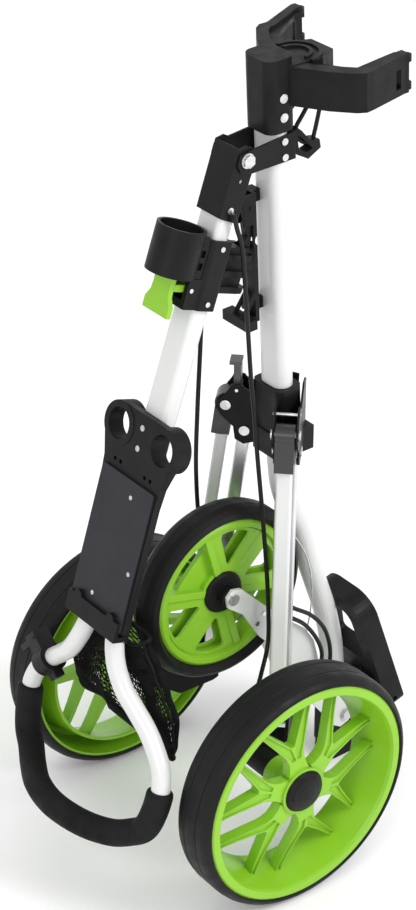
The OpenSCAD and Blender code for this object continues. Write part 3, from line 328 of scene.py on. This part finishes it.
WIRE = [(24.3, 116, 361), (24.3, 134, 327), (24.3, 143, 287), (24.3, 142, 245), (24.3, 133.5, 209)]
WIRE_RADIUS = 0.0009
# the long sleeves run by the handle arm above the first point and by the main frame below the second; they
# cross the hinge and are attached to no body
STRAP = [(10, 138, 911.5), (12, 137, 897), (12, 126, 880), (12, 116, 867), (12, 114, 860),
         (12, 124, 848), (12, 137, 844), (12, 142, 856), (12, 148, 880), (12, 153, 897), (12, 155, 912)]
STRAP_RADIUS = 0.0024


def free_cord(name, points, radius, slot, body="main_frame"):
    line = smooth_line(row_points(points), 8)
    obj = sweep(name, line, radius, slot, body, 16)
    return obj


def make_cords():
    pieces = []
    for name, points in SLEEVES.items():
        crosses_hinge = name.startswith("sleeve")
        piece = free_cord(name, points, SLEEVE_RADIUS, "cable_sleeve",
                          body=None if crosses_hinge else "main_frame")
        if crosses_hinge:
            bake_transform(piece)
        pieces.append(piece)
    pieces.append(free_cord("bare_wire", WIRE, WIRE_RADIUS, "bright_steel"))
    for piece in pieces:
        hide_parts("brake_cables")
    strap = free_cord("elastic_strap", STRAP, STRAP_RADIUS, "cable_sleeve")
    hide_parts("strap_cord")


# ---------- net pouch ----------
NET_ROUND = 76
NET_LEVELS = 36
NET_STRAND = 0.0017
# share of the height: half width, depth, in shares of the CAD pouch
NET_SHAPE = [(0.0, 0.97, 0.16), (0.12, 1.0, 0.52), (0.34, 0.98, 0.86), (0.55, 0.78, 0.95),
             (0.75, 0.60, 0.90), (0.92, 0.42, 0.80), (1.0, 0.40, 0.74)]
HEM_LIFT = 0.012


def along_table(table, share):
    for a, b in zip(table, table[1:]):
        if share <= b[0]:
            t = (share - a[0]) / (b[0] - a[0])
            t = t * t * (3 - 2 * t)
            return [x + (y - x) * t for x, y in zip(a[1:], b[1:])]
    return list(table[-1][1:])


def pouch_point(around, share, lo, hi):
    """A point on the pouch: around from 0 to 1, share of the height from the hem to the top."""
    width, depth = along_table(NET_SHAPE, share)
    half_w = (hi[0] - lo[0]) / 2 * width
    half_d = (hi[1] - lo[1]) / 2 * depth
    turn = 2 * math.pi * around
    c, s = math.cos(turn), math.sin(turn)
    power = 0.42
    x = half_w * math.copysign(abs(c) ** power, c)
    y = half_d * math.copysign(abs(s) ** power, s)
    sag = HEM_LIFT * (1 - share) * (0.5 - x / (2 * half_w))
    drape = 0.004 * math.sin(3 * math.pi * x / half_w) * (1 - share) * (1 if s < 0 else 0.6)
    z = lo[2] + sag + share * (hi[2] - lo[2] - sag)
    return Vector((x, min(max((lo[1] + hi[1]) / 2 + y + drape, lo[1]), hi[1]), z))


def make_pouch():
    lo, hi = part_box("mesh_bag")
    lo, hi = [v + 0.0012 for v in lo], [v - 0.0012 for v in hi]
    mesh = bpy.data.meshes.new("net_pouch")
    verts = [pouch_point(((i + 0.5 * (j % 2)) / NET_ROUND) % 1.0, j / NET_LEVELS, lo, hi)
             for j in range(NET_LEVELS + 1) for i in range(NET_ROUND)]
    faces = []
    for j in range(NET_LEVELS - 1):
        for i in range(NET_ROUND):
            left = (i - 1) % NET_ROUND if j % 2 == 0 else i
            right = i if j % 2 == 0 else (i + 1) % NET_ROUND
            faces.append((j * NET_ROUND + i, (j + 1) * NET_ROUND + right, (j + 2) * NET_ROUND + i,
                          (j + 1) * NET_ROUND + left))
    mesh.from_pydata(verts, [], faces)
    mesh.materials.append(FINISH["net_fabric"])
    net = bpy.data.objects.new("net_pouch", mesh)
    bpy.context.scene.collection.objects.link(net)
    wire = net.modifiers.new("strands", "WIREFRAME")
    wire.thickness = NET_STRAND
    wire.use_even_offset = False
    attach(net, "handle_arm")
    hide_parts("mesh_bag")
    for name, share, radius in (("pouch_hem", 0.0, 0.0028), ("pouch_rim", 0.985, 0.0024)):
        ring = [pouch_point(k / 120, share, lo, hi) for k in range(121)]
        hem = sweep(name, ring, radius, "net_fabric", "handle_arm", 10)
        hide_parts("mesh_bag")
    for name, around in (("pouch_seam_right", 0.0), ("pouch_seam_left", 0.5)):
        seam = [pouch_point(around, k / 40, lo, hi) for k in range(41)]
        tape = sweep(name, seam, 0.0018, "net_fabric", "handle_arm", 10)
        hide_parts("mesh_bag")


# ---------- stage ----------
def make_stage():
    side = 6.0
    mesh = bpy.data.meshes.new("floor")
    mesh.from_pydata([(-side, -side, 0), (side, -side, 0), (side, side, 0), (-side, side, 0)], [],
                     [(0, 1, 2, 3)])
    floor = bpy.data.objects.new("floor", mesh)
    bpy.context.scene.collection.objects.link(floor)
    floor.location.z = -0.0008
    mat = bpy.data.materials.new("floor")
    mat.use_nodes = True
    shader = mat.node_tree.nodes["Principled BSDF"]
    shader.inputs["Base Color"].default_value = (0.97, 0.97, 0.97, 1)
    shader.inputs["Roughness"].default_value = 0.9
    shader.inputs["Specular IOR Level"].default_value = 0.1
    mesh.materials.append(mat)


def area_light(name, at, target, size, watts):
    data = bpy.data.lights.new(name, "AREA")
    data.shape = "DISK"
    data.size = size
    data.energy = watts
    obj = bpy.data.objects.new(name, data)
    bpy.context.scene.collection.objects.link(obj)
    obj.location = at
    obj.rotation_mode = "QUATERNION"
    obj.rotation_quaternion = (Vector(target) - Vector(at)).to_track_quat("-Z", "Y")


def make_light():
    world = bpy.data.worlds.new("studio")
    bpy.context.scene.world = world
    world.use_nodes = True
    world.node_tree.nodes["Background"].inputs["Color"].default_value = (1, 1, 1, 1)
    world.node_tree.nodes["Background"].inputs["Strength"].default_value = 0.95
    bpy.context.scene.view_settings.view_transform = "Standard"
    area_light("key", (2.4, 1.0, 2.6), (0, -0.1, 0.4), 1.6, 60)
    area_light("front", (1.2, -2.6, 1.8), (0, -0.1, 0.5), 1.8, 22)


make_camera()
dress_nodes()
make_loop()
make_cords()
make_pouch()
make_stage()
make_light()
